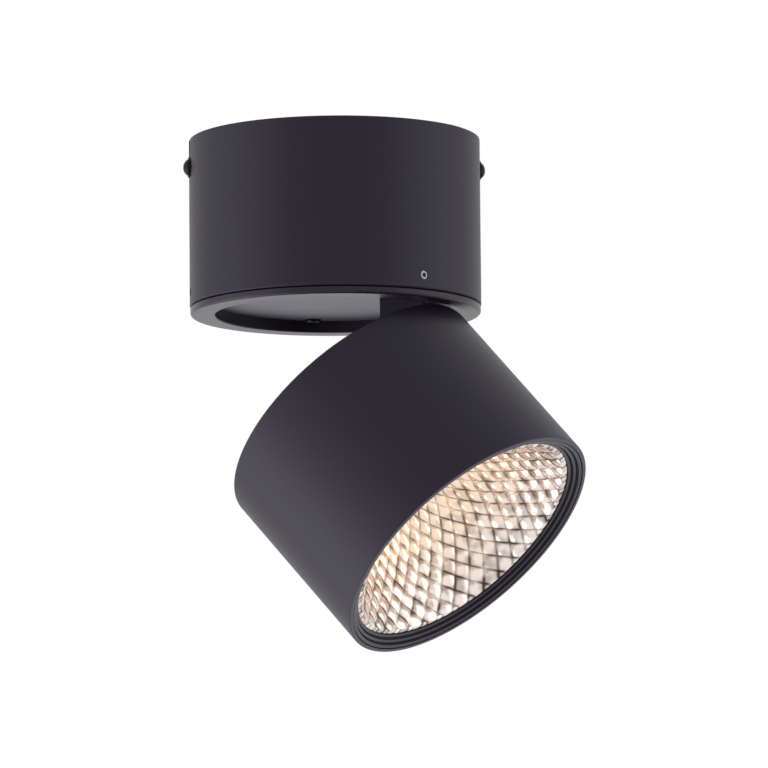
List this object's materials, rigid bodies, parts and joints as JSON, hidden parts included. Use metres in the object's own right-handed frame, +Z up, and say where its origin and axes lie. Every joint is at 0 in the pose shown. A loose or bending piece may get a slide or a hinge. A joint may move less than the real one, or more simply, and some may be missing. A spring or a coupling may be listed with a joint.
{
  "type": "surface mounted ceiling spotlight",
  "caption": "Round ceiling canopy with a swivelling turntable and a hinged round lamp head that holds a stepped baffle and a deep faceted reflector.",
  "frame": {"origin": "centre of the ceiling bracket's upper face, on the canopy's axis, in the ceiling's plane", "axes": "+Z up to the ceiling along the canopy's axis, +X through the side screws and the ceiling slots"},
  "size_m": [0.135, 0.126, 0.1774],
  "materials": {
    "black_aluminium": "fine matt black powder coating",
    "black_steel": "fine matt powder coating",
    "black_screw": "blackened steel",
    "zinc_steel": "zinc plated",
    "bright_steel": "turned",
    "aluminium": "as cast",
    "reflector_metal": "bright, pressed into facets",
    "brass": "turned",
    "white_plastic": "moulded",
    "black_plastic": "moulded",
    "board_green": "solder resist",
    "phosphor": "silicone with phosphor",
    "brown_insulation": "extruded",
    "blue_insulation": "extruded",
    "earth_insulation": "extruded",
    "clear_insulation": "extruded",
    "nylon": "moulded",
    "transformer_tape": "taped"
  },
  "bodies": {
    "canopy": {"canopy_housing": "black_aluminium", "ceiling_bracket": "zinc_steel", "side_washers": "black_screw", "side_screws": "black_screw", "cable_bushing": "black_plastic", "terminal_block": "white_plastic", "terminal_tubes": "brass", "terminal_screws": "zinc_steel", "terminal_block_screws": "zinc_steel", "earth_lug": "zinc_steel", "earth_screw": "zinc_steel", "driver_case": "white_plastic", "driver_cover": "white_plastic", "driver_board": "board_green", "driver_transformer": "transformer_tape", "driver_capacitors": "black_plastic", "driver_screws": "zinc_steel", "line_lead": "brown_insulation", "neutral_lead": "blue_insulation", "earth_lead": "earth_insulation", "driver_output_lead": "clear_insulation", "swivel_set_screws": "bright_steel"},
    "turntable": {"turntable_ring": "black_aluminium", "floor_plate": "black_steel", "floor_screws": "black_screw", "hinge_bracket": "black_steel", "hinge_bracket_screws": "zinc_steel", "lead_grommet": "black_plastic", "swivel_lead": "clear_insulation"},
    "head": {"head_shell": "black_aluminium", "heat_sink": "aluminium", "heat_sink_screws": "black_screw", "hinge_yoke": "zinc_steel", "yoke_screws": "zinc_steel", "hinge_screws": "zinc_steel", "friction_washers": "nylon", "led_board": "aluminium", "led_emitter": "phosphor", "led_holder": "white_plastic", "holder_screws": "zinc_steel", "head_lead": "clear_insulation", "reflector": "reflector_metal", "baffle_ring": "black_plastic"}
  },
  "joints": [
    {"name": "swivel", "type": "hinge", "parent": "canopy", "child": "turntable", "pos_m": [0, 0, -0.0584], "axis": [0, 0, 1], "range_deg": [-172, 172]},
    {"name": "tilt", "type": "hinge", "parent": "turntable", "child": "head", "pos_m": [0.03558, -0.02623, -0.0709], "axis": [-0.5934, -0.8049, 0], "range_deg": [-42.6, 47.4]}
  ]
}
